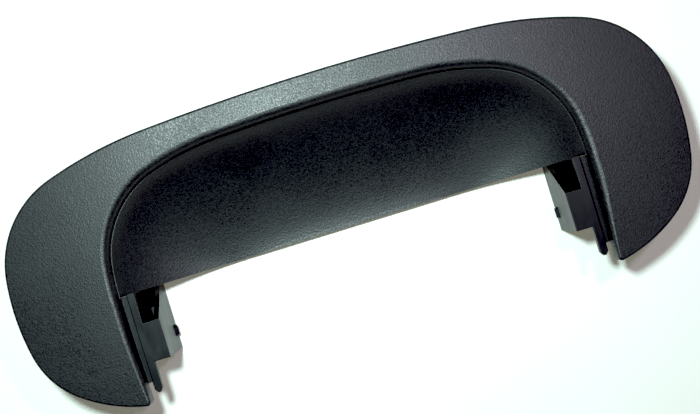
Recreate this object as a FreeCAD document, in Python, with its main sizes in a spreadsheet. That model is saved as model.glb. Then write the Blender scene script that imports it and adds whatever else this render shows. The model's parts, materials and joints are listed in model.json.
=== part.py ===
import FreeCAD, Part
import math
import os
import re
import Sketcher

# Surround of a rear-door pull handle: a grained rim with a finger scoop behind the place of the
# paddle, and a guide bracket at each end of the straight bay that the paddle unit slides into.
#
# Frame: millimetres. X runs along the handle, +Y points to the crest of the rim, +Z points out of
# the door. The origin lies under the middle of the outline, on the plane that the part lies on
# when it is put down on its back. "Left" and "right" are as seen from the front, right is +X.

V = FreeCAD.Vector
DOC = FreeCAD.newDocument("handle_surround")

SIZES = {
    # heights
    "front_height": 32.0,
    "seat_height": 24.0,
    "crown_radius": 4300.0,
    "overrun": 1.0,
    # outline of the rim: tangent arcs from the crest round to the foot of the wing
    "outline_top": 51.03,
    "outline_crest_radius": 980.0,
    "outline_crest_turn": 3.8,
    "outline_shoulder_radius": 160.0,
    "outline_shoulder_turn": 14.5,
    "outline_corner_radius": 38.6,
    "outline_corner_turn": 64.2,
    "outline_side_radius": 91.0,
    "outline_side_turn": 19.0,
    "outline_low_corner_radius": 33.3,
    "outline_low_corner_turn": 41.5,
    "outline_foot_radius": 58.0,
    "outline_foot_turn": 25.0,
    # lip of the rim round the scoop, then the inner edge of the wing
    "lip_top": 39.03,
    "lip_crest_radius": 850.0,
    "lip_crest_turn": 2.6,
    "lip_shoulder_radius": 106.0,
    "lip_shoulder_turn": 15.5,
    "lip_corner_radius": 37.0,
    "lip_corner_turn": 65.4,
    "lip_side_radius": 105.0,
    "lip_side_turn": 6.5,
    "lip_wing_radius": 900.0,
    "lip_wing_turn": 2.6,
    # rounded edges of the rim
    "tip_radius": 1.5,
    "outer_roll": 0.9,
    "lip_roll": 3.0,
    "wing_roll": 2.4,
    # back of the rim
    "skin": 3.0,
    "rib": 1.6,
    "rib_gap": 0.6,
    "rib_pitch": 13.0,
    "hollow_inset": 6.6,
    "hollow_start": 100.0,
    "rebate_width": 3.1,
    "rebate_depth": 2.8,
    "channel_near": 2.2,
    "channel_far": 4.9,
    "channel_depth": 3.0,
    "gasket_proud": 1.2,
    "seal_gap": 0.1,
    "skirt_lip": 0.4,
    # finger scoop
    "bowl_top": 28.0,
    "bowl_floor": 4.0,
    "bowl_gap": 0.3,
    "bowl_wall": 2.5,
    "bowl_base": 14.0,
    "bowl_power": 1.6,
    "floor_half_length": 46.0,
    "floor_top": -7.5,
    "floor_wall": 1.0,
    "scoop_edge": 9.1,
    "scoop_top": 26.0,
    "flange_near": 1.2,
    "flange_far": 6.4,
    "flange_thickness": 2.2,
    "scoop_rib_pitch": 25.0,
    "scoop_rib_near": 7.1,
    "scoop_rib_foot": 18.2,
    "scoop_rib_far": 38.0,
    "scoop_rib_knee": 16.0,
    # guide bracket
    "face_top": 27.0,
    "face_thickness": 2.5,
    "rail_inner": 86.7,
    "rail_outer": 89.8,
    "rail_upper": 8.5,
    "rail_lower": 47.6,
    "rail_tip": 1.5,
    "rail_tip_inset": 1.0,
    "box_inner": 80.4,
    "box_upper": 20.7,
    "box_lower": 36.0,
    "box_start": 9.25,
    "box_start_height": 8.0,
    "side_wall": 2.0,
    "web_inner": 87.5,
    "web_thickness": 1.8,
    "end_wall": 2.0,
    "floor_thickness": 2.2,
    "ramp_end": 17.0,
    "face_edge": 0.35,
    "foot_outer": 102.0,
    "foot_upper": 9.3,
    "foot_lower": 43.5,
    "foot_thickness": 2.2,
    "foot_corner": 3.0,
    "foot_low_corner": 6.0,
    "foot_screw_x": 97.0,
    "foot_screw_upper": 18.0,
    "foot_screw_lower": 38.5,
    "window_low": 2.4,
    "window_high": 6.2,
    "window_gap": 0.35,
    # lock tongue and its pin
    "tongue_axis_x": 84.7,
    "tongue_axis_z": 18.5,
    "tongue_y": 28.5,
    "tongue_width": 4.0,
    "tongue_thickness": 0.8,
    "tongue_foot": 2.7,
    "barb_tip": 79.3,
    "barb_tip_height": 3.6,
    "barb_top": 5.8,
    "eye_radius": 1.6,
    "pin_radius": 0.9,
    "pin_clearance": 0.06,
    "pin_half_length": 4.6,
    "ear_thickness": 1.6,
    "ear_gap": 0.3,
    "ear_half_height": 2.0,
    "ear_root": 0.4,
    "ear_reach": 2.2,
    "pin_end_gap": 0.2,
    # screws
    "screw_radius": 1.5,
    "screw_length": 7.0,
    "screw_head_radius": 2.6,
    "screw_head_height": 1.9,
    "screw_offset": 4.7,
    "screw_gap": 0.1,
    "screw_head_gap": 0.2,
    "screw_head_slope": 0.9,
    "screw_head_edge": 0.8,
    "screw_point": 1.2,
    "recess_arm": 1.5,
    "recess_half": 0.35,
    "recess_floor": 0.7,
    "head_room": 2.0,
    "scoop_screw_crest_x": 36.0,
    # panel clips and their seals
    "upper_clip_x": 106.0,
    "upper_clip_y": 22.5,
    "lower_clip_x": 111.0,
    "lower_clip_y": -24.0,
    "clip_socket_radius": 9.8,
    "clip_head_radius": 4.4,
    "clip_head_top": 27.6,
    "clip_collar_radius": 8.0,
    "clip_collar_height": 1.0,
    "clip_collar_low": 24.6,
    "clip_shank_radius": 2.8,
    "clip_fin_radius": 4.4,
    "clip_fin_pitch": 3.2,
    "clip_first_fin": 3.0,
    "clip_fin_edge": 0.5,
    "clip_fin_height": 2.4,
    "clip_head_chamfer": 0.6,
    "clip_gap": 0.2,
    "clip_point": 1.5,
    "clip_point_radius": 1.4,
    "clip_end": 8.0,
    "seal_radius": 7.6,
    "seal_hole": 3.3,
    "seal_thickness": 1.4,
    # threaded inserts in the locating bosses
    "insert_x": 114.0,
    "insert_y": 4.0,
    "boss_radius": 5.5,
    "boss_root_radius": 6.6,
    "boss_end": 17.0,
    "insert_radius": 3.6,
    "insert_length": 9.0,
    "insert_bore": 2.1,
    "insert_band": 3.6,
    "insert_slope": 0.4,
    "insert_groove": 0.5,
}

OUTLINE = ["outline_crest", "outline_shoulder", "outline_corner", "outline_side",
           "outline_low_corner", "outline_foot"]
LIP = ["lip_crest", "lip_shoulder", "lip_corner", "lip_side"]
WING = LIP + ["lip_wing"]
# This stretch has no turn of its own: it runs on until it meets the straight foot of the wing.
OPEN_STRETCH = "lip_wing"
BOWL_LEVELS = (0, 12, 24, 36, 48, 58, 67, 75, 82, 90)
BOWL_STEPS = 6
FINS = 4
SIDES = (("", "right"), ("-", "left"))


# ---------------------------------------------------------------- sheet and small helpers

def fill_sheet():
    sheet = DOC.addObject("Spreadsheet::Sheet", "Sizes")
    for row, (alias, value) in enumerate(SIZES.items(), start=1):
        sheet.set(f"A{row}", alias)
        sheet.set(f"B{row}", str(value))
        sheet.setAlias(f"B{row}", alias)
    DOC.recompute()
    return sheet


SHEET = fill_sheet()


def size(alias):
    return float(SHEET.get(alias))


def bind(item, **expressions):
    """Bind properties to formulas of the sheet's aliases, each written as @alias."""
    for name, formula in expressions.items():
        item.setExpression(name.replace("__", "."), formula.replace("@", "Sizes."))
    return item


def new_body(name):
    body = DOC.addObject("PartDesign::Body", name)
    body.Label = name
    return body


def new_sketch(body, name, role, offset=None):
    sketch = body.newObject("Sketcher::SketchObject", name)
    plane = [item for item in body.Origin.OriginFeatures if item.Role == role][0]
    sketch.AttachmentSupport = [(plane, "")]
    sketch.MapMode = "FlatFace"
    if offset:
        bind(sketch, AttachmentOffset__Base__z=offset)
    return sketch


def new_pad(body, sketch, name, length, symmetric=False, reverse=False):
    pad = body.newObject("PartDesign::Pad", name)
    pad.Profile = sketch
    bind(pad, Length=length)
    pad.Midplane = symmetric
    pad.Reversed = reverse
    DOC.recompute()
    return pad


def new_pocket(body, sketch, name, length, symmetric=False, reverse=False):
    """A pocket, with a check that it really removes material."""
    before = body.Shape.Volume
    pocket = body.newObject("PartDesign::Pocket", name)
    pocket.Profile = sketch
    bind(pocket, Length=length)
    pocket.Midplane = symmetric
    pocket.Reversed = reverse
    DOC.recompute()
    if body.Shape.Volume > before - 0.01:
        raise RuntimeError(f"{body.Label}: {name} removes nothing")
    return pocket


def rounded(body, name, edges, radius):
    """PartDesign::Fillet on named edges of the body's last feature."""
    base = body.Tip
    fillet = body.newObject("PartDesign::Fillet", name)
    fillet.Base = (base, edges)
    bind(fillet, Radius=radius)
    DOC.recompute()
    return fillet


def fix(sketch, constraint, formula):
    """Add a constraint whose value is a formula of the sheet's aliases."""
    index = sketch.addConstraint(constraint)
    sketch.setExpression(f"Constraints[{index}]", formula.replace("@", "Sizes."))


def factor(word):
    return size(word[1:]) if word.startswith("@") else float(word)


def value_of(formula):
    """Number that a formula of aliases and numbers with + - * / and no brackets stands for."""
    total = 0.0
    for term in re.findall("[+-]?[^+-]+", formula.replace(" ", "")):
        sign = -1.0 if term.startswith("-") else 1.0
        words = re.split("([*/])", term.lstrip("+-"))
        product = factor(words[0])
        for operator, word in zip(words[1::2], words[2::2]):
            product = product * factor(word) if operator == "*" else product / factor(word)
        total += sign * product
    return total


def polygon(sketch, corners):
    """Closed outline through corners, each a pair of formulas bound to the sheet."""
    places = [V(value_of(x), value_of(y), 0) for x, y in corners]
    count = len(places)
    for index in range(count):
        sketch.addGeometry(Part.LineSegment(places[index], places[(index + 1) % count]))
    for index, (x, y) in enumerate(corners):
        following = (index + 1) % count
        sketch.addConstraint(Sketcher.Constraint("Coincident", index, 2, following, 1))
        for kind, formula, value in (("DistanceX", x, places[index].x), ("DistanceY", y, places[index].y)):
            fix(sketch, Sketcher.Constraint(kind, -1, 1, index, 1, value), formula)


def ring(sketch, x, y, radius):
    """Circle with its centre and radius bound to the sheet."""
    circle = Part.Circle(V(value_of(x), value_of(y), 0), V(0, 0, 1), value_of(radius))
    index = sketch.addGeometry(circle)
    fix(sketch, Sketcher.Constraint("DistanceX", -1, 1, index, 3, value_of(x)), x)
    fix(sketch, Sketcher.Constraint("DistanceY", -1, 1, index, 3, value_of(y)), y)
    fix(sketch, Sketcher.Constraint("Radius", index, value_of(radius)), radius)


def revolved(name, profile):
    """Body turned about Z from a profile of (radius, height) formulas."""
    body = new_body(name)
    sketch = new_sketch(body, name + "_profile", "XZ_Plane")
    polygon(sketch, profile)
    turn = body.newObject("PartDesign::Revolution", name + "_turn")
    turn.Profile = sketch
    turn.ReferenceAxis = (sketch, ["V_Axis"])
    turn.Angle = 360.0
    DOC.recompute()
    return body


def block(name, low, high):
    """Part::Box between two corners given as formulas."""
    box = DOC.addObject("Part::Box", name)
    spans = [f"({top}) - ({bottom})" for bottom, top in zip(low, high)]
    bind(box, Length=spans[0], Width=spans[1], Height=spans[2])
    bind(box, Placement__Base__x=low[0], Placement__Base__y=low[1], Placement__Base__z=low[2])
    return box


def rod(name, x, y, low, high, radius):
    """Part::Cylinder along Z."""
    cylinder = DOC.addObject("Part::Cylinder", name)
    bind(cylinder, Radius=radius, Height=f"({high}) - ({low})")
    bind(cylinder, Placement__Base__x=x, Placement__Base__y=y, Placement__Base__z=low)
    return cylinder


def fused(name, items):
    union = DOC.addObject("Part::MultiFuse", name)
    union.Shapes = items
    DOC.recompute()
    return union


def cut(name, base, tool):
    result = DOC.addObject("Part::Cut", name)
    result.Base = base
    result.Tool = tool
    result.Label = name
    DOC.recompute()
    return result


def mirrored(name, source):
    """The same piece for the other end, mirrored in the YZ plane."""
    twin = DOC.addObject("Part::Mirroring", name)
    twin.Source = source
    twin.Base = V(0, 0, 0)
    twin.Normal = V(1, 0, 0)
    twin.Label = name
    DOC.recompute()
    return twin


def shaped(name, shape):
    """Part::Feature for a shape that no parametric feature gives."""
    feature = DOC.addObject("Part::Feature", name)
    feature.Shape = shape
    feature.Label = name
    return feature


# ---------------------------------------------------------------- chains of tangent arcs

def walk(top, stretches, grow=0.0):
    """Arcs of a chain on the +X side: centre, radius, first heading, last heading in radians."""
    arcs = []
    x = 0.0
    y = size(top) + grow
    heading = 0.0
    for stretch in stretches:
        radius = size(stretch + "_radius") + grow
        turn = size(stretch + "_turn")
        centre = V(x + radius * math.sin(heading), y - radius * math.cos(heading), 0)
        last = heading - math.radians(turn)
        arcs.append((centre, radius, heading, last))
        x = centre.x - radius * math.sin(last)
        y = centre.y + radius * math.cos(last)
        heading = last
    return arcs


def on_arc(arc, fraction):
    """Point at a fraction of one arc's length."""
    centre, radius, first, last = arc
    heading = first + (last - first) * fraction
    return V(centre.x - radius * math.sin(heading), centre.y + radius * math.cos(heading), 0)


def add_chain(sketch, top, stretches, grow=""):
    """Symmetric chain in a sketch. Returns its free ends, right then left, as (curve, point)."""
    arcs = walk(top, stretches, value_of(grow))
    ends = {}
    for order, (stretch, (centre, radius, first, last)) in enumerate(zip(stretches, arcs)):
        start = math.pi / 2 + last
        stop = math.pi / 2 + first
        radius_formula = f"@{stretch}_radius {grow}"
        turn_formula = f"@{stretch}_turn * 1 deg"
        if order == 0:
            circle = Part.Circle(centre, V(0, 0, 1), radius)
            crest = sketch.addGeometry(Part.ArcOfCircle(circle, start, math.pi - start))
            sketch.addConstraint(Sketcher.Constraint("Symmetric", crest, 1, crest, 2, -2))
            depth = f"@{stretch}_radius - @{top}"
            fix(sketch, Sketcher.Constraint("DistanceY", crest, 3, -1, 1, -centre.y), depth)
            fix(sketch, Sketcher.Constraint("Radius", crest, radius), radius_formula)
            sweep = Sketcher.Constraint("Angle", crest, math.pi - 2 * start)
            fix(sketch, sweep, f"2 * @{stretch}_turn * 1 deg")
            ends = {1: (crest, 1), -1: (crest, 2)}
            continue
        for side in (1, -1):
            circle = Part.Circle(V(side * centre.x, centre.y, 0), V(0, 0, 1), radius)
            angles = (start, stop) if side == 1 else (math.pi - stop, math.pi - start)
            arc = sketch.addGeometry(Part.ArcOfCircle(circle, *angles))
            near, far = (2, 1) if side == 1 else (1, 2)
            sketch.addConstraint(Sketcher.Constraint("Tangent", *ends[side], arc, near))
            fix(sketch, Sketcher.Constraint("Radius", arc, radius), radius_formula)
            if stretch != OPEN_STRETCH:
                fix(sketch, Sketcher.Constraint("Angle", arc, stop - start), turn_formula)
            ends[side] = (arc, far)
    return ends[1], ends[-1]


def join_ends(sketch, one, other, tangent=False):
    """Straight line between two free ends, tangent to the first where asked."""
    first = sketch.getPoint(*one)
    second = sketch.getPoint(*other)
    line = sketch.addGeometry(Part.LineSegment(first, second))
    kind = "Tangent" if tangent else "Coincident"
    sketch.addConstraint(Sketcher.Constraint(kind, *one, line, 1))
    sketch.addConstraint(Sketcher.Constraint("Coincident", line, 2, *other))


def band(name, offset, height, outer, inner, tangent=False):
    """Body: a band between two chains, padded from the height `offset` up."""
    body = new_body(name)
    sketch = new_sketch(body, name + "_outline", "XY_Plane", offset)
    outer_ends = add_chain(sketch, *outer)
    inner_ends = add_chain(sketch, *inner)
    for outer_end, inner_end in zip(outer_ends, inner_ends):
        join_ends(sketch, outer_end, inner_end, tangent)
    new_pad(body, sketch, name + "_pad", height)
    return body


def crown(body, drop):
    """Cut the front to a large arc along X, `drop` below the front of the rim."""
    sketch = new_sketch(body, body.Label + "_crown", "XZ_Plane")
    radius = value_of(f"@crown_radius - {drop}" if drop else "@crown_radius")
    half = size("outline_corner_radius") * 4
    centre_z = size("front_height") - size("crown_radius")
    lean = math.asin(half / radius)
    end_z = centre_z + radius * math.cos(lean)
    top_z = size("front_height") + size("seat_height")
    circle = Part.Circle(V(0, centre_z, 0), V(0, 0, 1), radius)
    arc = sketch.addGeometry(Part.ArcOfCircle(circle, math.pi / 2 - lean, math.pi / 2 + lean))
    corners = [V(-half, end_z, 0), V(-half, top_z, 0), V(half, top_z, 0), V(half, end_z, 0)]
    sides = [sketch.addGeometry(Part.LineSegment(a, b)) for a, b in zip(corners, corners[1:])]
    for one, other in ((arc, sides[0]), (sides[0], sides[1]), (sides[1], sides[2])):
        sketch.addConstraint(Sketcher.Constraint("Coincident", one, 2, other, 1))
    sketch.addConstraint(Sketcher.Constraint("Coincident", sides[2], 2, arc, 1))
    sketch.addConstraint(Sketcher.Constraint("Symmetric", arc, 1, arc, 2, -2))
    sketch.addConstraint(Sketcher.Constraint("Vertical", sides[0]))
    sketch.addConstraint(Sketcher.Constraint("Vertical", sides[2]))
    sketch.addConstraint(Sketcher.Constraint("Horizontal", sides[1]))
    centre_depth = Sketcher.Constraint("DistanceY", arc, 3, -1, 1, -centre_z)
    fix(sketch, centre_depth, "@crown_radius - @front_height")
    formula = f"@crown_radius - {drop}" if drop else "@crown_radius"
    fix(sketch, Sketcher.Constraint("Radius", arc, radius), formula)
    reach = Sketcher.Constraint("DistanceX", sides[1], 1, sides[1], 2, 2 * half)
    fix(sketch, reach, "8 * @outline_corner_radius")
    ceiling = Sketcher.Constraint("DistanceY", -1, 1, sides[1], 1, top_z)
    fix(sketch, ceiling, "@front_height + @seat_height")
    new_pocket(body, sketch, body.Label + "_crown_cut", "4 * @outline_top", symmetric=True)


# ---------------------------------------------------------------- rim

LIP_HALF = on_arc(walk("lip_top", LIP)[-1], 1.0).x
FOOT_Y = 2.0 - size("outline_top")


def tip_edges(shape):
    """Upright edges at the inner corners of the wings' feet."""
    names = []
    for index, edge in enumerate(shape.Edges, start=1):
        low, high = [vertex.Point for vertex in (edge.firstVertex(), edge.lastVertex())]
        upright = math.hypot(high.x - low.x, high.y - low.y) < 0.01
        if upright and low.y < FOOT_Y and abs(low.x) < LIP_HALF:
            names.append(f"Edge{index}")
    return names


def front_radius(point):
    """Radius of the rim's rounded front edge at a point of it."""
    inside = abs(point.x) < LIP_HALF + 1.0 and point.y < size("lip_top") + 1.0
    if not inside or point.y < FOOT_Y + 0.5:
        return size("outer_roll")
    if point.y < -size("rail_upper"):
        return size("wing_roll")
    return size("lip_roll")


def front_edges(shape):
    """Front edges of the rim with the radius at each end, for Part::Fillet."""
    edges = []
    for index, edge in enumerate(shape.Edges, start=1):
        if edge.BoundBox.ZMin > size("front_height") - size("skin"):
            start, end = [front_radius(vertex.Point) for vertex in (edge.lastVertex(), edge.firstVertex())]
            edges.append((index, start, end))
    return edges


def rim_blank():
    """Solid rim with its front bowed and every front edge rounded."""
    body = band("rim_blank", "@seat_height", "@front_height - @seat_height + @overrun",
                ("outline_top", OUTLINE), ("lip_top", WING), tangent=True)
    crown(body, "")
    rounded(body, "tip_rounding", tip_edges(body.Shape), "@tip_radius")
    rolled = DOC.addObject("Part::Fillet", "rim_rolled")
    rolled.Base = body
    rolled.Edges = front_edges(body.Shape)
    DOC.recompute()
    return rolled


def wing_hollows():
    """Space behind the skin of each wing, less its ribs, sockets and bosses."""
    body = new_body("wing_hollow")
    sketch = new_sketch(body, "wing_hollow_outline", "XY_Plane", "@seat_height - @overrun")
    ends = add_chain(sketch, "outline_top", OUTLINE, "- @hollow_inset")
    join_ends(sketch, *ends)
    new_pad(body, sketch, "wing_hollow_pad", "@front_height - @seat_height")
    crown(body, "@skin")
    far = "3 * @outline_top"
    high = "2 * @seat_height"
    low = "@seat_height + @rib_gap"
    keep = [block("hollow_middle", ("-@hollow_start", f"-{far}", "0"), ("@hollow_start", far, high))]
    for level in range(-1, 3):
        start = f"{level} * @rib_pitch - @rib / 2"
        keep.append(block(f"rib_{level + 2}", (f"-{far}", start, low), (far, f"{start} + @rib", high)))
    for sign, name in SIDES:
        start = f"{sign}@insert_x - @rib / 2"
        keep.append(block(f"{name}_long_rib", (start, f"-{far}", low), (f"{start} + @rib", far, high)))
        for spot, radius in (("upper_clip", "@clip_socket_radius"),
                             ("lower_clip", "@clip_socket_radius"),
                             ("insert", "@boss_root_radius")):
            island = rod(f"{name}_{spot}_island", f"{sign}@{spot}_x", f"@{spot}_y", "0", high, radius)
            keep.append(island)
    return cut("wing_hollows", body, fused("hollow_islands", keep))


def other_side(points):
    """The same points mirrored in the YZ plane."""
    return [V(-point.x, point.y, point.z) for point in points]


def screw_places():
    """Axes of the screws: six through the scoop's flange, two through each bracket's foot."""
    arcs = walk("lip_top", LIP, size("screw_offset"))
    crest_fraction = size("scoop_screw_crest_x") / on_arc(arcs[0], 1.0).x
    scoop = [on_arc(arcs[0], crest_fraction), on_arc(arcs[2], 0.25), on_arc(arcs[3], 0.1)]
    foot_x = size("foot_screw_x")
    right = [V(foot_x, -size("foot_screw_upper"), 0), V(foot_x, -size("foot_screw_lower"), 0)]
    return {"scoop": scoop + other_side(scoop), "right": right, "left": other_side(right)}


PLACES = screw_places()
SPOTS = ("upper_clip", "lower_clip")


def pilot_holes():
    """Holes that the screws bite into."""
    holes = []
    for name, places in PLACES.items():
        for number, place in enumerate(places, start=1):
            hole = DOC.addObject("Part::Cylinder", f"{name}_pilot_{number}")
            bind(hole, Radius="@screw_radius", Height="@screw_length",
                 Placement__Base__z="@seat_height - @foot_thickness")
            hole.Placement.Base = V(place.x, place.y, 0)
            holes.append(hole)
    return holes


def rim_cover():
    """Rim with a thin skirt round its back, hollow wings, and places for clips and inserts."""
    solids = [rim_blank()]
    solids.append(band("skirt", "@seat_height - @skirt_lip", "@skirt_lip",
                       ("outline_top", OUTLINE), ("outline_top", OUTLINE, "- @channel_near")))
    tools = [wing_hollows()]
    below = "@seat_height - @overrun"
    for sign, name in SIDES:
        place = (f"{sign}@insert_x", "@insert_y")
        solids.append(rod(f"{name}_boss", *place, "@boss_end", "@seat_height + 2 * @overrun", "@boss_radius"))
        tools.append(rod(f"{name}_insert_bore", *place, "@boss_end - @overrun",
                         "@boss_end + @insert_length", "@insert_radius"))
        for spot in SPOTS:
            place = (f"{sign}@{spot}_x", f"@{spot}_y")
            collar_top = "@clip_collar_low + @clip_collar_height"
            tools.append(rod(f"{name}_{spot}_counterbore", *place, below, collar_top,
                             "@clip_collar_radius + @clip_gap"))
            tools.append(rod(f"{name}_{spot}_bore", *place, below, "@clip_head_top + @clip_gap",
                             "@clip_head_radius"))
    tools.append(band("rim_rebate", below, "@rebate_depth + @overrun",
                      ("lip_top", LIP, "+ @rebate_width"), ("lip_top", LIP, "- 2 * @overrun")))
    tools.append(band("gasket_channel", below, "@channel_depth + @overrun",
                      ("outline_top", OUTLINE, "- @channel_near"),
                      ("outline_top", OUTLINE, "- @channel_far")))
    tools += pilot_holes()
    DOC.recompute()
    return cut("rim_cover", fused("rim_solid", solids), fused("rim_tools", tools))


# ---------------------------------------------------------------- finger scoop

def bowl(grow, floor, half_length, floor_top):
    """Bowl whose levels are the lip's curve drawn in towards the free edge, as a closed solid.

    Each level follows a rounded profile from upright at the top to flat at the floor.
    """
    arch = []
    for arc in walk("lip_top", LIP, grow):
        arch += [on_arc(arc, step / BOWL_STEPS) for step in range(BOWL_STEPS)]
    last = on_arc(arc, 1.0)
    base = -size("bowl_base")
    arch += [last, V(last.x, (last.y + base) / 2, 0), V(last.x, base, 0)]
    full_x = last.x
    full_y = arch[0].y - base
    power = 2.0 / size("bowl_power")
    wires = []
    for angle in BOWL_LEVELS:
        inward = 1.0 - math.cos(math.radians(angle)) ** power if angle < 90 else 1.0
        drop = math.sin(math.radians(angle)) ** power
        scale_x = 1.0 - inward * (1.0 - half_length / full_x)
        scale_y = 1.0 - inward * (1.0 - (floor_top - base) / full_y)
        height = size("bowl_top") - drop * (size("bowl_top") - floor)
        right = [V(p.x * scale_x, base + (p.y - base) * scale_y, height) for p in arch]
        left = [V(-p.x, p.y, p.z) for p in right[:0:-1]]
        curve = Part.BSplineCurve()
        curve.interpolate(left + right)
        closing = Part.makeLine(right[-1], left[0])
        wires.append(Part.Wire([curve.toShape(), closing]))
    return Part.makeLoft(wires, True, False)


def scoop_ribs():
    """Five ribs under the bowl, which it stands on when it is laid down."""
    body = new_body("scoop_rib")
    sketch = new_sketch(body, "scoop_rib_outline", "YZ_Plane")
    flange_low = "@seat_height - @flange_thickness"
    polygon(sketch, [("-@scoop_rib_near", "0"), ("@scoop_rib_foot", "0"),
                     ("@scoop_rib_far", "@scoop_rib_knee"), ("@lip_top", flange_low),
                     ("-@scoop_rib_near", flange_low)])
    pad = new_pad(body, sketch, "scoop_rib_pad", "@rib", symmetric=True)
    ribs = []
    for number in range(-2, 3):
        rib = DOC.addObject("Part::Feature", f"scoop_rib_{number + 3}")
        rib.Shape = pad.Shape
        rib.Placement.Base = V(number * size("scoop_rib_pitch"), 0, 0)
        ribs.append(rib)
    return ribs


def finger_scoop():
    wall = size("bowl_gap") + size("bowl_wall")
    outside = shaped("bowl_outside", bowl(wall, size("bowl_floor") - size("bowl_wall"),
                                          size("floor_half_length") + size("floor_wall"),
                                          size("floor_top") + size("floor_wall")))
    inside = shaped("bowl_inside", bowl(size("bowl_gap"), size("bowl_floor"),
                                        size("floor_half_length"), size("floor_top")))
    flange = band("scoop_flange", "@seat_height - @flange_thickness", "@flange_thickness",
                  ("lip_top", LIP, "+ @flange_far"), ("lip_top", LIP, "+ @flange_near"))
    solid = fused("scoop_solid", [outside, flange, *scoop_ribs()])
    length = "@outline_top * 4"
    below = block("below_scoop_edge", (f"-{length}", f"-{length}", "-@overrun"),
                  (length, "-@scoop_edge", "2 * @front_height"))
    above = block("above_scoop_top", (f"-{length}", f"-{length}", "@scoop_top"),
                  (length, length, "2 * @front_height"))
    tools = [inside, below, above]
    for number, place in enumerate(PLACES["scoop"], start=1):
        hole = DOC.addObject("Part::Cylinder", f"scoop_hole_{number}")
        bind(hole, Radius="@screw_radius + @screw_gap", Height="2 * @flange_thickness",
             Placement__Base__z="@seat_height - 1.5 * @flange_thickness")
        hole.Placement.Base = V(place.x, place.y, 0)
        head_room = DOC.addObject("Part::Cylinder", f"scoop_head_room_{number}")
        bind(head_room, Radius="@screw_head_radius + @screw_head_gap",
             Height="@screw_head_height + @head_room",
             Placement__Base__z="@seat_height - @flange_thickness - @screw_head_height - @head_room")
        head_room.Placement.Base = V(place.x, place.y, 0)
        tools += [hole, head_room]
    DOC.recompute()
    return cut("finger_scoop", solid, fused("scoop_tools", tools))


# ---------------------------------------------------------------- guide brackets and tongues

def face_edges(shape):
    """Edges round the top of the T-shaped face, but for the short one above the side wall's slope."""
    top = [(f"Edge{index}", edge.BoundBox) for index, edge in enumerate(shape.Edges, start=1)
           if edge.BoundBox.ZMin > size("face_top") - 0.01]
    slope_x = size("box_inner") + size("side_wall") + 0.01
    slope_y = -size("box_upper") - 0.01
    return [name for name, box in top if box.XMax > slope_x or box.YMin < slope_y]


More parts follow.
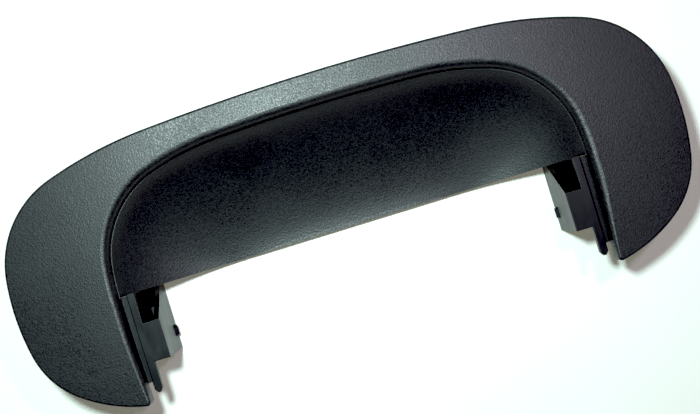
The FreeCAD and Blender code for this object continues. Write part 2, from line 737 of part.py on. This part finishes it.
def right_guide_bracket():
    body = new_body("right_guide_bracket")
    face = new_sketch(body, "face_outline", "XY_Plane", "@face_top - @face_thickness")
    polygon(face, [("@rail_inner", "-@rail_upper"), ("@rail_outer", "-@rail_upper"),
                   ("@rail_outer", "-@rail_lower + @rail_tip"),
                   ("@rail_outer - @rail_tip_inset", "-@rail_lower"),
                   ("@rail_inner + @rail_tip_inset", "-@rail_lower"),
                   ("@rail_inner", "-@rail_lower + @rail_tip"),
                   ("@rail_inner", "-@box_lower"), ("@box_inner", "-@box_lower"),
                   ("@box_inner", "-@box_upper"), ("@rail_inner", "-@box_upper")])
    new_pad(body, face, "face", "@face_thickness")
    side = new_sketch(body, "side_outline", "YZ_Plane", "@box_inner")
    polygon(side, [("-@box_lower", "0"), ("-@box_start", "0"), ("-@box_start", "@box_start_height"),
                   ("-@box_upper", "@face_top"), ("-@box_lower", "@face_top")])
    new_pad(body, side, "side_wall_pad", "@side_wall")
    web = new_sketch(body, "web_outline", "YZ_Plane", "@web_inner")
    polygon(web, [("-@box_lower", "0"), ("-@box_start", "0"),
                  ("-@box_start", "@face_top - 2 * @face_thickness"),
                  ("-@rail_upper", "@face_top - @face_thickness"), ("-@rail_upper", "@face_top"),
                  ("-@box_lower", "@face_top")])
    new_pad(body, web, "web_pad", "@web_thickness")
    floor = new_sketch(body, "floor_outline", "XY_Plane")
    web_outer = "@web_inner + @web_thickness"
    polygon(floor, [("@box_inner", "-@box_lower"), (web_outer, "-@box_lower"),
                    (web_outer, "-@box_start"), ("@box_inner", "-@box_start")])
    new_pad(body, floor, "floor_pad", "@floor_thickness")
    ramp = new_sketch(body, "ramp_outline", "YZ_Plane", "@box_inner")
    polygon(ramp, [("-@ramp_end", "0"), ("-@box_start", "0"), ("-@box_start", "@box_start_height"),
                   ("-@ramp_end", "@floor_thickness")])
    new_pad(body, ramp, "ramp_pad", "@web_inner + @web_thickness - @box_inner")
    end = new_sketch(body, "end_outline", "XY_Plane")
    polygon(end, [("@box_inner", "-@box_lower"), (web_outer, "-@box_lower"),
                  (web_outer, "-@box_lower + @end_wall"), ("@box_inner", "-@box_lower + @end_wall")])
    new_pad(body, end, "end_pad", "@face_top - @face_thickness / 2")
    foot = new_sketch(body, "foot_outline", "XY_Plane", "@seat_height - @foot_thickness")
    polygon(foot, [("@web_inner", "-@foot_lower"), ("@foot_outer - @foot_low_corner", "-@foot_lower"),
                   ("@foot_outer", "-@foot_lower + @foot_low_corner"),
                   ("@foot_outer", "-@foot_upper - @foot_corner"),
                   ("@foot_outer - @foot_corner", "-@foot_upper"), ("@web_inner", "-@foot_upper")])
    new_pad(body, foot, "foot_pad", "@foot_thickness")
    holes = new_sketch(body, "foot_holes", "XY_Plane", "@seat_height")
    ring(holes, "@foot_screw_x", "-@foot_screw_upper", "@screw_radius + @screw_gap")
    ring(holes, "@foot_screw_x", "-@foot_screw_lower", "@screw_radius + @screw_gap")
    new_pocket(body, holes, "foot_holes_cut", "2 * @foot_thickness")
    window = new_sketch(body, "window_outline", "YZ_Plane", "@box_inner + @side_wall")
    lower = "-@tongue_y - @tongue_width / 2 - @window_gap"
    upper = "-@tongue_y + @tongue_width / 2 + @window_gap"
    polygon(window, [(lower, "@window_low"), (upper, "@window_low"),
                     (upper, "@window_high"), (lower, "@window_high")])
    new_pocket(body, window, "window_cut", "2 * @side_wall")
    for name, low in (("near_ear", "-@tongue_y + @tongue_width / 2 + @ear_gap"),
                      ("far_ear", "-@tongue_y - @tongue_width / 2 - @ear_gap - @ear_thickness")):
        ear = new_sketch(body, name + "_outline", "YZ_Plane", "@box_inner + @side_wall - @ear_root")
        high = f"{low} + @ear_thickness"
        bottom = "@tongue_axis_z - @ear_half_height"
        top = "@tongue_axis_z + @ear_half_height"
        polygon(ear, [(low, bottom), (high, bottom), (high, top), (low, top)])
        new_pad(body, ear, name + "_pad", "@tongue_axis_x - @box_inner - @side_wall + @ear_reach")
    bore = new_sketch(body, "pin_bore_outline", "XZ_Plane", "@tongue_y")
    ring(bore, "@tongue_axis_x", "@tongue_axis_z", "@pin_radius")
    new_pocket(body, bore, "pin_bore", "2 * @pin_half_length", symmetric=True)
    rounded(body, "face_rounding", face_edges(body.Shape), "@face_edge")
    return body


def right_lock_tongue():
    """Sprung tongue: a rolled eye on the pin, a leaf behind the box wall and a barb through it."""
    body = new_body("right_lock_tongue")
    back = "@tongue_axis_x - @eye_radius + @tongue_thickness"
    front = "@tongue_axis_x - @eye_radius"
    leaf = new_sketch(body, "leaf_outline", "XZ_Plane", "@tongue_y")
    polygon(leaf, [(back, "@tongue_axis_z"), (front, "@tongue_axis_z"), (front, "@barb_top"),
                   ("@barb_tip", "@barb_tip_height"), (front, "@tongue_foot"), (back, "@tongue_foot")])
    new_pad(body, leaf, "leaf_pad", "@tongue_width", symmetric=True)
    eye = new_sketch(body, "eye_outline", "XZ_Plane", "@tongue_y")
    ring(eye, "@tongue_axis_x", "@tongue_axis_z", "@eye_radius")
    new_pad(body, eye, "eye_pad", "@tongue_width", symmetric=True)
    bore = new_sketch(body, "eye_bore_outline", "XZ_Plane", "@tongue_y")
    ring(bore, "@tongue_axis_x", "@tongue_axis_z", "@pin_radius + @pin_clearance")
    new_pocket(body, bore, "eye_bore", "2 * @tongue_width", symmetric=True)
    return body


def right_tongue_pin():
    body = new_body("right_tongue_pin")
    section = new_sketch(body, "pin_section", "XZ_Plane", "@tongue_y")
    ring(section, "@tongue_axis_x", "@tongue_axis_z", "@pin_radius")
    new_pad(body, section, "pin_pad", "2 * @pin_half_length - 2 * @pin_end_gap", symmetric=True)
    return body


# ---------------------------------------------------------------- seals, screws, clips, inserts

def rim_gasket():
    return band("rim_gasket", "@seat_height - @gasket_proud", "@channel_depth + @gasket_proud",
                ("outline_top", OUTLINE, "- @channel_near - @seal_gap"),
                ("outline_top", OUTLINE, "- @channel_far + @seal_gap"))


def scoop_seal():
    return band("scoop_seal", "@scoop_top", "@seat_height + @rebate_depth - @scoop_top",
                ("lip_top", LIP, "+ @bowl_gap + @bowl_wall - @seal_gap"),
                ("lip_top", LIP, "+ @bowl_gap + 4 * @seal_gap"))


def screw():
    """Pan-head screw, its head below the flange that it clamps, its axis on Z."""
    head_low = "@seat_height - @foot_thickness - @screw_head_height"
    head_top = "@seat_height - @foot_thickness"
    tip = "@seat_height - @foot_thickness + @screw_length"
    body = revolved("screw", [
        ("0", head_low), ("@screw_head_radius - @screw_head_slope", head_low),
        ("@screw_head_radius", f"{head_low} + @screw_head_edge"), ("@screw_head_radius", head_top),
        ("@screw_radius", head_top), ("@screw_radius", f"{tip} - @screw_point"),
        ("@screw_radius - @screw_head_slope", tip), ("0", tip)])
    recess = new_sketch(body, "screw_recess", "XY_Plane", head_low)
    arm, half = "@recess_arm", "@recess_half"
    quarter = [(arm, half), (half, half), (half, arm)]
    corners = quarter + [(f"-{x}", y) for x, y in quarter[::-1]]
    corners += [(f"-{x}", f"-{y}") for x, y in quarter] + [(x, f"-{y}") for x, y in quarter[::-1]]
    polygon(recess, corners)
    new_pocket(body, recess, "screw_recess_cut", "@screw_head_height - @recess_floor", reverse=True)
    return body


def group(name, source, places):
    """One node of equal solids, one at each place."""
    copies = []
    for place in places:
        solid = source.Shape.copy()
        solid.translate(V(place.x, place.y, 0))
        copies.append(solid)
    return shaped(name, Part.makeCompound(copies))


def clip():
    """Push-in panel clip: head pressed into the rim, sealing collar, finned shank."""
    collar_top = "@clip_collar_low + @clip_collar_height"
    profile = [("0", "@clip_head_top"), ("@clip_head_radius - @clip_head_chamfer", "@clip_head_top"),
               ("@clip_head_radius", "@clip_head_top - @clip_head_chamfer"),
               ("@clip_head_radius", collar_top), ("@clip_collar_radius", collar_top),
               ("@clip_collar_radius", "@clip_collar_low"), ("@clip_shank_radius", "@clip_collar_low")]
    for fin in range(FINS):
        top = f"@clip_collar_low - @clip_first_fin - {fin} * @clip_fin_pitch"
        profile += [("@clip_shank_radius", top), ("@clip_fin_radius", f"{top} - @clip_fin_edge"),
                    ("@clip_shank_radius", f"{top} - @clip_fin_height")]
    profile += [("@clip_shank_radius", "@clip_end + @clip_point"),
                ("@clip_shank_radius - @clip_point_radius", "@clip_end"), ("0", "@clip_end")]
    return revolved("clip", profile)


def placed_clip(name, source, place):
    feature = shaped(name, source.Shape)
    feature.Placement.Base = place
    return feature


def clip_seal():
    low = "@clip_collar_low - @seal_thickness"
    return revolved("clip_seal", [("@seal_hole", low), ("@seal_radius", low),
                                  ("@seal_radius", "@clip_collar_low"), ("@seal_hole", "@clip_collar_low")])


def threaded_insert():
    """Brass insert with two knurled bands and a groove between them."""
    top = "@boss_end + @insert_length"
    low_band = "@boss_end + @insert_band"
    high_band = f"{top} - @insert_band"
    groove = "@insert_radius - @insert_groove"
    return revolved("threaded_insert", [
        ("@insert_bore", "@boss_end"), ("@insert_radius", "@boss_end"), ("@insert_radius", low_band),
        (groove, f"{low_band} + @insert_slope"), (groove, f"{high_band} - @insert_slope"),
        ("@insert_radius", high_band), ("@insert_radius", top), ("@insert_bore", top)])


# ---------------------------------------------------------------- the assembly

def assemble():
    nodes = [rim_cover(), finger_scoop(), rim_gasket(), scoop_seal()]
    for right_piece, name in ((right_guide_bracket(), "guide_bracket"),
                              (right_lock_tongue(), "lock_tongue"),
                              (right_tongue_pin(), "tongue_pin")):
        nodes += [right_piece, mirrored(f"left_{name}", right_piece)]
    fastener = screw()
    nodes.append(group("scoop_screws", fastener, PLACES["scoop"]))
    nodes.append(group("right_bracket_screws", fastener, PLACES["right"]))
    nodes.append(group("left_bracket_screws", fastener, PLACES["left"]))
    clip_source = clip()
    insert_source = threaded_insert()
    clip_places = []
    for side, name in ((1, "right"), (-1, "left")):
        for spot, level in (("upper_clip", "upper"), ("lower_clip", "lower")):
            place = V(side * size(spot + "_x"), size(spot + "_y"), 0)
            clip_places.append(place)
            nodes.append(placed_clip(f"{level}_{name}_clip", clip_source, place))
        insert_place = V(side * size("insert_x"), size("insert_y"), 0)
        nodes.append(placed_clip(f"{name}_threaded_insert", insert_source, insert_place))
    nodes.append(group("clip_seals", clip_seal(), clip_places))
    DOC.recompute()
    return nodes


def check(nodes):
    for item in DOC.Objects:
        if "Invalid" in item.State or "Error" in item.State:
            raise RuntimeError(f"{item.Label} failed: {item.State}")
    for node in nodes:
        if node.Shape.isNull() or not node.Shape.isValid() or not node.Shape.Solids:
            raise RuntimeError(f"{node.Label} has no valid solid")


def write(nodes):
    os.makedirs("parts", exist_ok=True)
    for node in nodes:
        node.Shape.exportStep(f"parts/{node.Label}.step")
        print(node.Label, len(node.Shape.Solids), round(node.Shape.Volume, 1))


NODES = assemble()
check(NODES)
write(NODES)
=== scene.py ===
import json
import math

import bpy
from mathutils import Matrix, Vector

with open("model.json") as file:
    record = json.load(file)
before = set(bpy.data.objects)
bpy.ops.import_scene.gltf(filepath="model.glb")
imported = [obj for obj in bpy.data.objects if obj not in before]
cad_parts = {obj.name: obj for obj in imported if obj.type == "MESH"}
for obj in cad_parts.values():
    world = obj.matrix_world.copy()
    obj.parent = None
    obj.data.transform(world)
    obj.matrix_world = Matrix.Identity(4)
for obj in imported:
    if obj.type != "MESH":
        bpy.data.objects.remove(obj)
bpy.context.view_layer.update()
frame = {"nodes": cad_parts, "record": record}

# Looks of the handle surround: moulded plastics with their grain, metal, foam, and a small
# studio with two lamps close to the camera, over a white table.

NODES = frame["nodes"]
MM = 0.001


# ---------------------------------------------------------------- node helpers

class Recipe:
    """A material under construction: its tree, its shader and its object coordinates."""

    def __init__(self, name):
        self.material = bpy.data.materials.new(name)
        self.material.use_nodes = True
        self.tree = self.material.node_tree
        self.shader = next(n for n in self.tree.nodes if n.type == "BSDF_PRINCIPLED")
        self.coordinates = self.tree.nodes.new("ShaderNodeTexCoord").outputs["Object"]

    def link(self, output, target):
        self.tree.links.new(output, target)

    def noise(self, size_mm, detail=2.0, stretch=(1, 1, 1), distortion=0.0):
        """Noise whose blobs are about size_mm across."""
        mapping = self.tree.nodes.new("ShaderNodeMapping")
        mapping.inputs["Scale"].default_value = [s / (size_mm * MM) for s in stretch]
        self.link(self.coordinates, mapping.inputs["Vector"])
        texture = self.tree.nodes.new("ShaderNodeTexNoise")
        texture.inputs["Scale"].default_value = 1.0
        texture.inputs["Detail"].default_value = detail
        texture.inputs["Distortion"].default_value = distortion
        self.link(mapping.outputs["Vector"], texture.inputs["Vector"])
        return texture.outputs["Fac"]

    def cells(self, size_mm, feature="SMOOTH_F1"):
        """Cell pattern of pebbles about size_mm across."""
        mapping = self.tree.nodes.new("ShaderNodeMapping")
        mapping.inputs["Scale"].default_value = [1 / (size_mm * MM)] * 3
        self.link(self.coordinates, mapping.inputs["Vector"])
        texture = self.tree.nodes.new("ShaderNodeTexVoronoi")
        texture.feature = feature
        texture.inputs["Scale"].default_value = 1.0
        self.link(mapping.outputs["Vector"], texture.inputs["Vector"])
        return texture.outputs["Distance"]

    def distance(self):
        """Distance from the object's origin, in metres."""
        node = self.tree.nodes.new("ShaderNodeVectorMath")
        node.operation = "LENGTH"
        self.link(self.coordinates, node.inputs[0])
        return node.outputs["Value"]

    def ramp(self, value, low, high, start=0.0, stop=1.0):
        """Map a value from low..high to start..stop, clamped."""
        node = self.tree.nodes.new("ShaderNodeMapRange")
        settings = {"From Min": low, "From Max": high, "To Min": start, "To Max": stop}
        for socket, number in settings.items():
            node.inputs[socket].default_value = number
        self.link(value, node.inputs["Value"])
        return node.outputs["Result"]

    def mix(self, factor, one, other):
        """Blend of two colours; either may be a socket."""
        node = self.tree.nodes.new("ShaderNodeMix")
        node.data_type = "RGBA"
        self.link(factor, node.inputs["Factor"])
        for socket, colour in ((node.inputs[6], one), (node.inputs[7], other)):
            if isinstance(colour, bpy.types.NodeSocket):
                self.link(colour, socket)
            else:
                socket.default_value = (*colour, 1.0)
        return node.outputs[2]

    def add(self, one, other, weight):
        """one + other * weight."""
        node = self.tree.nodes.new("ShaderNodeMath")
        node.operation = "MULTIPLY_ADD"
        self.link(other, node.inputs[0])
        node.inputs[1].default_value = weight
        self.link(one, node.inputs[2])
        return node.outputs[0]

    def bump(self, height, depth_mm, strength=1.0, under=None):
        """Bump of a given depth, over another bump if there is one."""
        node = self.tree.nodes.new("ShaderNodeBump")
        node.inputs["Strength"].default_value = strength
        node.inputs["Distance"].default_value = depth_mm * MM
        self.link(height, node.inputs["Height"])
        if under is not None:
            self.link(under, node.inputs["Normal"])
        return node.outputs["Normal"]

    def finish(self, colour, roughness, normal):
        self.link(colour, self.shader.inputs["Base Color"])
        self.link(roughness, self.shader.inputs["Roughness"])
        self.link(normal, self.shader.inputs["Normal"])
        return self.material


# ---------------------------------------------------------------- materials

def grained_plastic(name, dark, light, rough_low, rough_high, depth_mm):
    """Moulded plastic with a spark-eroded grain, slight mottling and handling marks."""
    recipe = Recipe(name)
    grain = recipe.add(recipe.cells(0.62), recipe.noise(0.42, detail=3.0), 0.8)
    waves = recipe.noise(9.0, detail=1.0)
    mottle = recipe.noise(1.1, detail=3.0)
    clouds = recipe.noise(34.0, detail=2.0, distortion=0.4)
    scuffs = recipe.noise(3.0, detail=4.0, stretch=(0.25, 1.6, 1.0), distortion=0.6)
    speckle = recipe.ramp(mottle, 0.38, 0.64)
    blend = recipe.add(speckle, recipe.ramp(clouds, 0.35, 0.65), 0.35)
    colour = recipe.mix(recipe.ramp(blend, 0.1, 1.2), dark, light)
    scuff_mask = recipe.ramp(scuffs, 0.62, 0.74, 0.0, -0.05)
    base = recipe.ramp(recipe.add(clouds, mottle, 0.6), 0.55, 1.05, rough_low, rough_high)
    sparkle = recipe.ramp(recipe.noise(0.55, detail=1.0), 0.3, 0.7, -0.085, 0.085)
    roughness = recipe.add(recipe.add(base, scuff_mask, 1.0), sparkle, 1.0)
    low_bump = recipe.bump(waves, 0.05, 0.5)
    normal = recipe.bump(grain, depth_mm, 0.8, under=low_bump)
    recipe.shader.inputs["Specular IOR Level"].default_value = 0.75
    return recipe.finish(colour, roughness, normal)


def smooth_plastic(name, dark, light, rough_low, rough_high):
    """Polished-tool plastic with faint flow lines and fine scratches."""
    recipe = Recipe(name)
    flow = recipe.noise(6.0, detail=2.0, stretch=(1.0, 0.3, 1.0), distortion=1.0)
    scratches = recipe.noise(0.5, detail=4.0, stretch=(1.0, 0.06, 0.3))
    fine = recipe.noise(0.35, detail=2.0)
    colour = recipe.mix(recipe.ramp(flow, 0.35, 0.65), dark, light)
    roughness = recipe.ramp(recipe.add(flow, scratches, 0.5), 0.5, 1.0, rough_low, rough_high)
    under = recipe.bump(scratches, 0.008, 0.6)
    normal = recipe.bump(fine, 0.012, 0.5, under=under)
    return recipe.finish(colour, roughness, normal)


def metal(name, dark, light, rough_low, rough_high, stretch):
    """Metal with drawing lines along one direction and slight tarnish."""
    recipe = Recipe(name)
    lines = recipe.noise(0.25, detail=3.0, stretch=stretch)
    tarnish = recipe.noise(2.2, detail=4.0)
    colour = recipe.mix(recipe.ramp(tarnish, 0.35, 0.7), light, dark)
    roughness = recipe.ramp(recipe.add(tarnish, lines, 0.6), 0.5, 1.1, rough_low, rough_high)
    normal = recipe.bump(lines, 0.015, 0.6)
    recipe.shader.inputs["Metallic"].default_value = 1.0
    return recipe.finish(colour, roughness, normal)


def knurled_brass(name):
    """Turned brass with a diamond knurl."""
    recipe = Recipe(name)
    tarnish = recipe.noise(1.8, detail=4.0)
    knurl = recipe.cells(0.45, feature="F1")
    colour = recipe.mix(recipe.ramp(tarnish, 0.35, 0.7), (0.83, 0.62, 0.27), (0.55, 0.38, 0.14))
    roughness = recipe.ramp(tarnish, 0.3, 0.7, 0.22, 0.4)
    recipe.shader.inputs["Metallic"].default_value = 1.0
    return recipe.finish(colour, roughness, recipe.bump(knurl, 0.12, 0.8))


def foam(name, dark, light):
    """Closed-cell foam: small open pores on a dull skin, with painted shade darkening the
    colour inside each pore.
    """
    recipe = Recipe(name)
    pore_pits_and_painted_shade = recipe.cells(0.55, feature="F1")
    mottle = recipe.noise(1.6, detail=3.0)
    # Painted shade: the colour goes darker towards each pore's centre, where the bump dips into
    # a pit.
    colour = recipe.mix(recipe.ramp(pore_pits_and_painted_shade, 0.1, 0.5), dark, light)
    roughness = recipe.ramp(mottle, 0.3, 0.7, 0.82, 0.95)
    return recipe.finish(colour, roughness, recipe.bump(pore_pits_and_painted_shade, 0.2, 0.9))


def nylon(name):
    """Natural nylon, slightly waxy, with light passing a little way in."""
    recipe = Recipe(name)
    clouds = recipe.noise(4.0, detail=3.0)
    fine = recipe.noise(0.3, detail=3.0)
    colour = recipe.mix(recipe.ramp(clouds, 0.35, 0.65), (0.72, 0.69, 0.6), (0.8, 0.78, 0.7))
    roughness = recipe.ramp(clouds, 0.3, 0.7, 0.36, 0.5)
    recipe.shader.inputs["Subsurface Weight"].default_value = 0.15
    recipe.shader.inputs["Subsurface Radius"].default_value = (0.0012, 0.0009, 0.0007)
    return recipe.finish(colour, roughness, recipe.bump(fine, 0.01, 0.5))


def make_materials():
    """One material for every slot of the record."""
    return {
        "grained_plastic": grained_plastic("grained_plastic", (0.0045, 0.0045, 0.0055),
                                           (0.0105, 0.0110, 0.0125), 0.44, 0.53, 0.06),
        "bracket_plastic": smooth_plastic("bracket_plastic", (0.0035, 0.0037, 0.0045),
                                          (0.0095, 0.0105, 0.011), 0.36, 0.46),
        "spring_steel": metal("spring_steel", (0.03, 0.03, 0.032), (0.09, 0.09, 0.095),
                              0.35, 0.5, (1.0, 1.0, 0.1)),
        "pin_steel": metal("pin_steel", (0.45, 0.45, 0.46), (0.66, 0.66, 0.68),
                           0.2, 0.32, (1.0, 0.1, 1.0)),
        "screw_steel": metal("screw_steel", (0.5, 0.46, 0.38), (0.72, 0.7, 0.66),
                             0.25, 0.42, (1.0, 1.0, 1.0)),
        "gasket_foam": foam("gasket_foam", (0.010, 0.010, 0.011), (0.035, 0.035, 0.037)),
        "insert_brass": knurled_brass("insert_brass"),
        "clip_plastic": nylon("clip_plastic"),
    }


def dress(materials):
    """Give every CAD node its material."""
    for entry in frame["record"]["subparts"]:
        piece = NODES[entry["node"]]
        piece.data.materials.clear()
        piece.data.materials.append(materials[entry["material_slot"]])


# ---------------------------------------------------------------- studio

FLANGE_HEIGHT = 32 * MM
CAMERA_RISE = 365 * MM
CAMERA_FOOT = Vector((1.1, -1.8, 0)) * MM
ROLL = math.radians(-17.1)
LENS_MM = 50.3
SENSOR_MM = 36.0
BLACK_POINT = (0.021, 0.025, 0.022)
LAMP_AIM_MM = (0, 0, 20)
HORIZON_BAND = 0.22
TABLE_HALF = 1.6
TABLE_GAP_MM = 0.05
GLOW_NEAR, GLOW_FAR = 0.2, 0.8
GLOW_START, GLOW_STOP = 0.18, 0.6


def camera():
    """Straight down on the flange, rolled so that the handle rises to the right."""
    data = bpy.data.cameras.new("camera")
    data.sensor_width = SENSOR_MM
    data.lens = LENS_MM
    data.clip_start = 0.01
    data.clip_end = 20.0
    eye = bpy.data.objects.new("camera", data)
    eye.location = CAMERA_FOOT + Vector((0, 0, FLANGE_HEIGHT + CAMERA_RISE))
    eye.rotation_euler = (0, 0, ROLL)
    bpy.context.scene.collection.objects.link(eye)
    bpy.context.scene.camera = eye


def lamp(name, place_mm, size_mm, watts, colour):
    """Round lamp aimed at the middle of the part."""
    data = bpy.data.lights.new(name, "AREA")
    data.shape = "DISK"
    data.size = size_mm * MM
    data.energy = watts
    data.color = colour
    light = bpy.data.objects.new(name, data)
    light.location = Vector(place_mm) * MM
    direction = (Vector(LAMP_AIM_MM) - Vector(place_mm)).normalized()
    light.rotation_euler = direction.to_track_quat("-Z", "Y").to_euler()
    light.visible_camera = False
    bpy.context.scene.collection.objects.link(light)


def sky(zenith, horizon):
    """Dark studio overhead with a pale band along the horizon."""
    world = bpy.data.worlds.new("studio")
    world.use_nodes = True
    tree = world.node_tree
    background = tree.nodes["Background"]
    direction = tree.nodes.new("ShaderNodeTexCoord").outputs["Generated"]
    split = tree.nodes.new("ShaderNodeSeparateXYZ")
    tree.links.new(direction, split.inputs[0])
    height = tree.nodes.new("ShaderNodeMapRange")
    height.inputs["From Min"].default_value = 0.0
    height.inputs["From Max"].default_value = HORIZON_BAND
    tree.links.new(split.outputs["Z"], height.inputs["Value"])
    blend = tree.nodes.new("ShaderNodeMix")
    blend.data_type = "RGBA"
    blend.inputs[6].default_value = (*horizon, 1.0)
    blend.inputs[7].default_value = (*zenith, 1.0)
    tree.links.new(height.outputs["Result"], blend.inputs["Factor"])
    tree.links.new(blend.outputs[2], background.inputs["Color"])
    background.inputs["Strength"].default_value = 1.0
    bpy.context.scene.world = world


def floor():
    """Large white table under the part; its glow grows outwards, where the lamps fade."""
    half = TABLE_HALF
    mesh = bpy.data.meshes.new("floor")
    corners = [(-half, -half, 0), (half, -half, 0), (half, half, 0), (-half, half, 0)]
    mesh.from_pydata(corners, [], [(0, 1, 2, 3)])
    top = bpy.data.objects.new("floor", mesh)
    top.location = (0, 0, -TABLE_GAP_MM * MM)
    bpy.context.scene.collection.objects.link(top)
    recipe = Recipe("white_table")
    clouds = recipe.noise(60.0, detail=2.0)
    colour = recipe.mix(recipe.ramp(clouds, 0.3, 0.7), (0.88, 0.88, 0.86), (0.91, 0.91, 0.89))
    roughness = recipe.ramp(clouds, 0.3, 0.7, 0.7, 0.8)
    recipe.shader.inputs["Emission Color"].default_value = (1.0, 1.0, 0.8, 1.0)
    reach = recipe.ramp(recipe.distance(), GLOW_START, GLOW_STOP, GLOW_NEAR, GLOW_FAR)
    recipe.link(reach, recipe.shader.inputs["Emission Strength"])
    mesh.materials.append(recipe.finish(colour, roughness, recipe.bump(clouds, 0.02, 0.2)))


def tone_curve(view):
    """A small camera's plain curve, whose deepest shadows fall to black."""
    view.view_transform = "Standard"
    view.use_curve_mapping = True
    view.curve_mapping.black_level = BLACK_POINT
    view.curve_mapping.update()


def studio():
    scene = bpy.context.scene
    tone_curve(scene.view_settings)
    camera()
    floor()
    sky(zenith=(0.004, 0.003, 0.005), horizon=(0.5, 0.5, 0.51))
    lamp("key", (-46, 86, 397), 45, 2.1, (0.78, 1.0, 0.96))
    lamp("fill", (140, 80, 397), 35, 0.3, (0.95, 0.8, 1.0))


studio()
dress(make_materials())
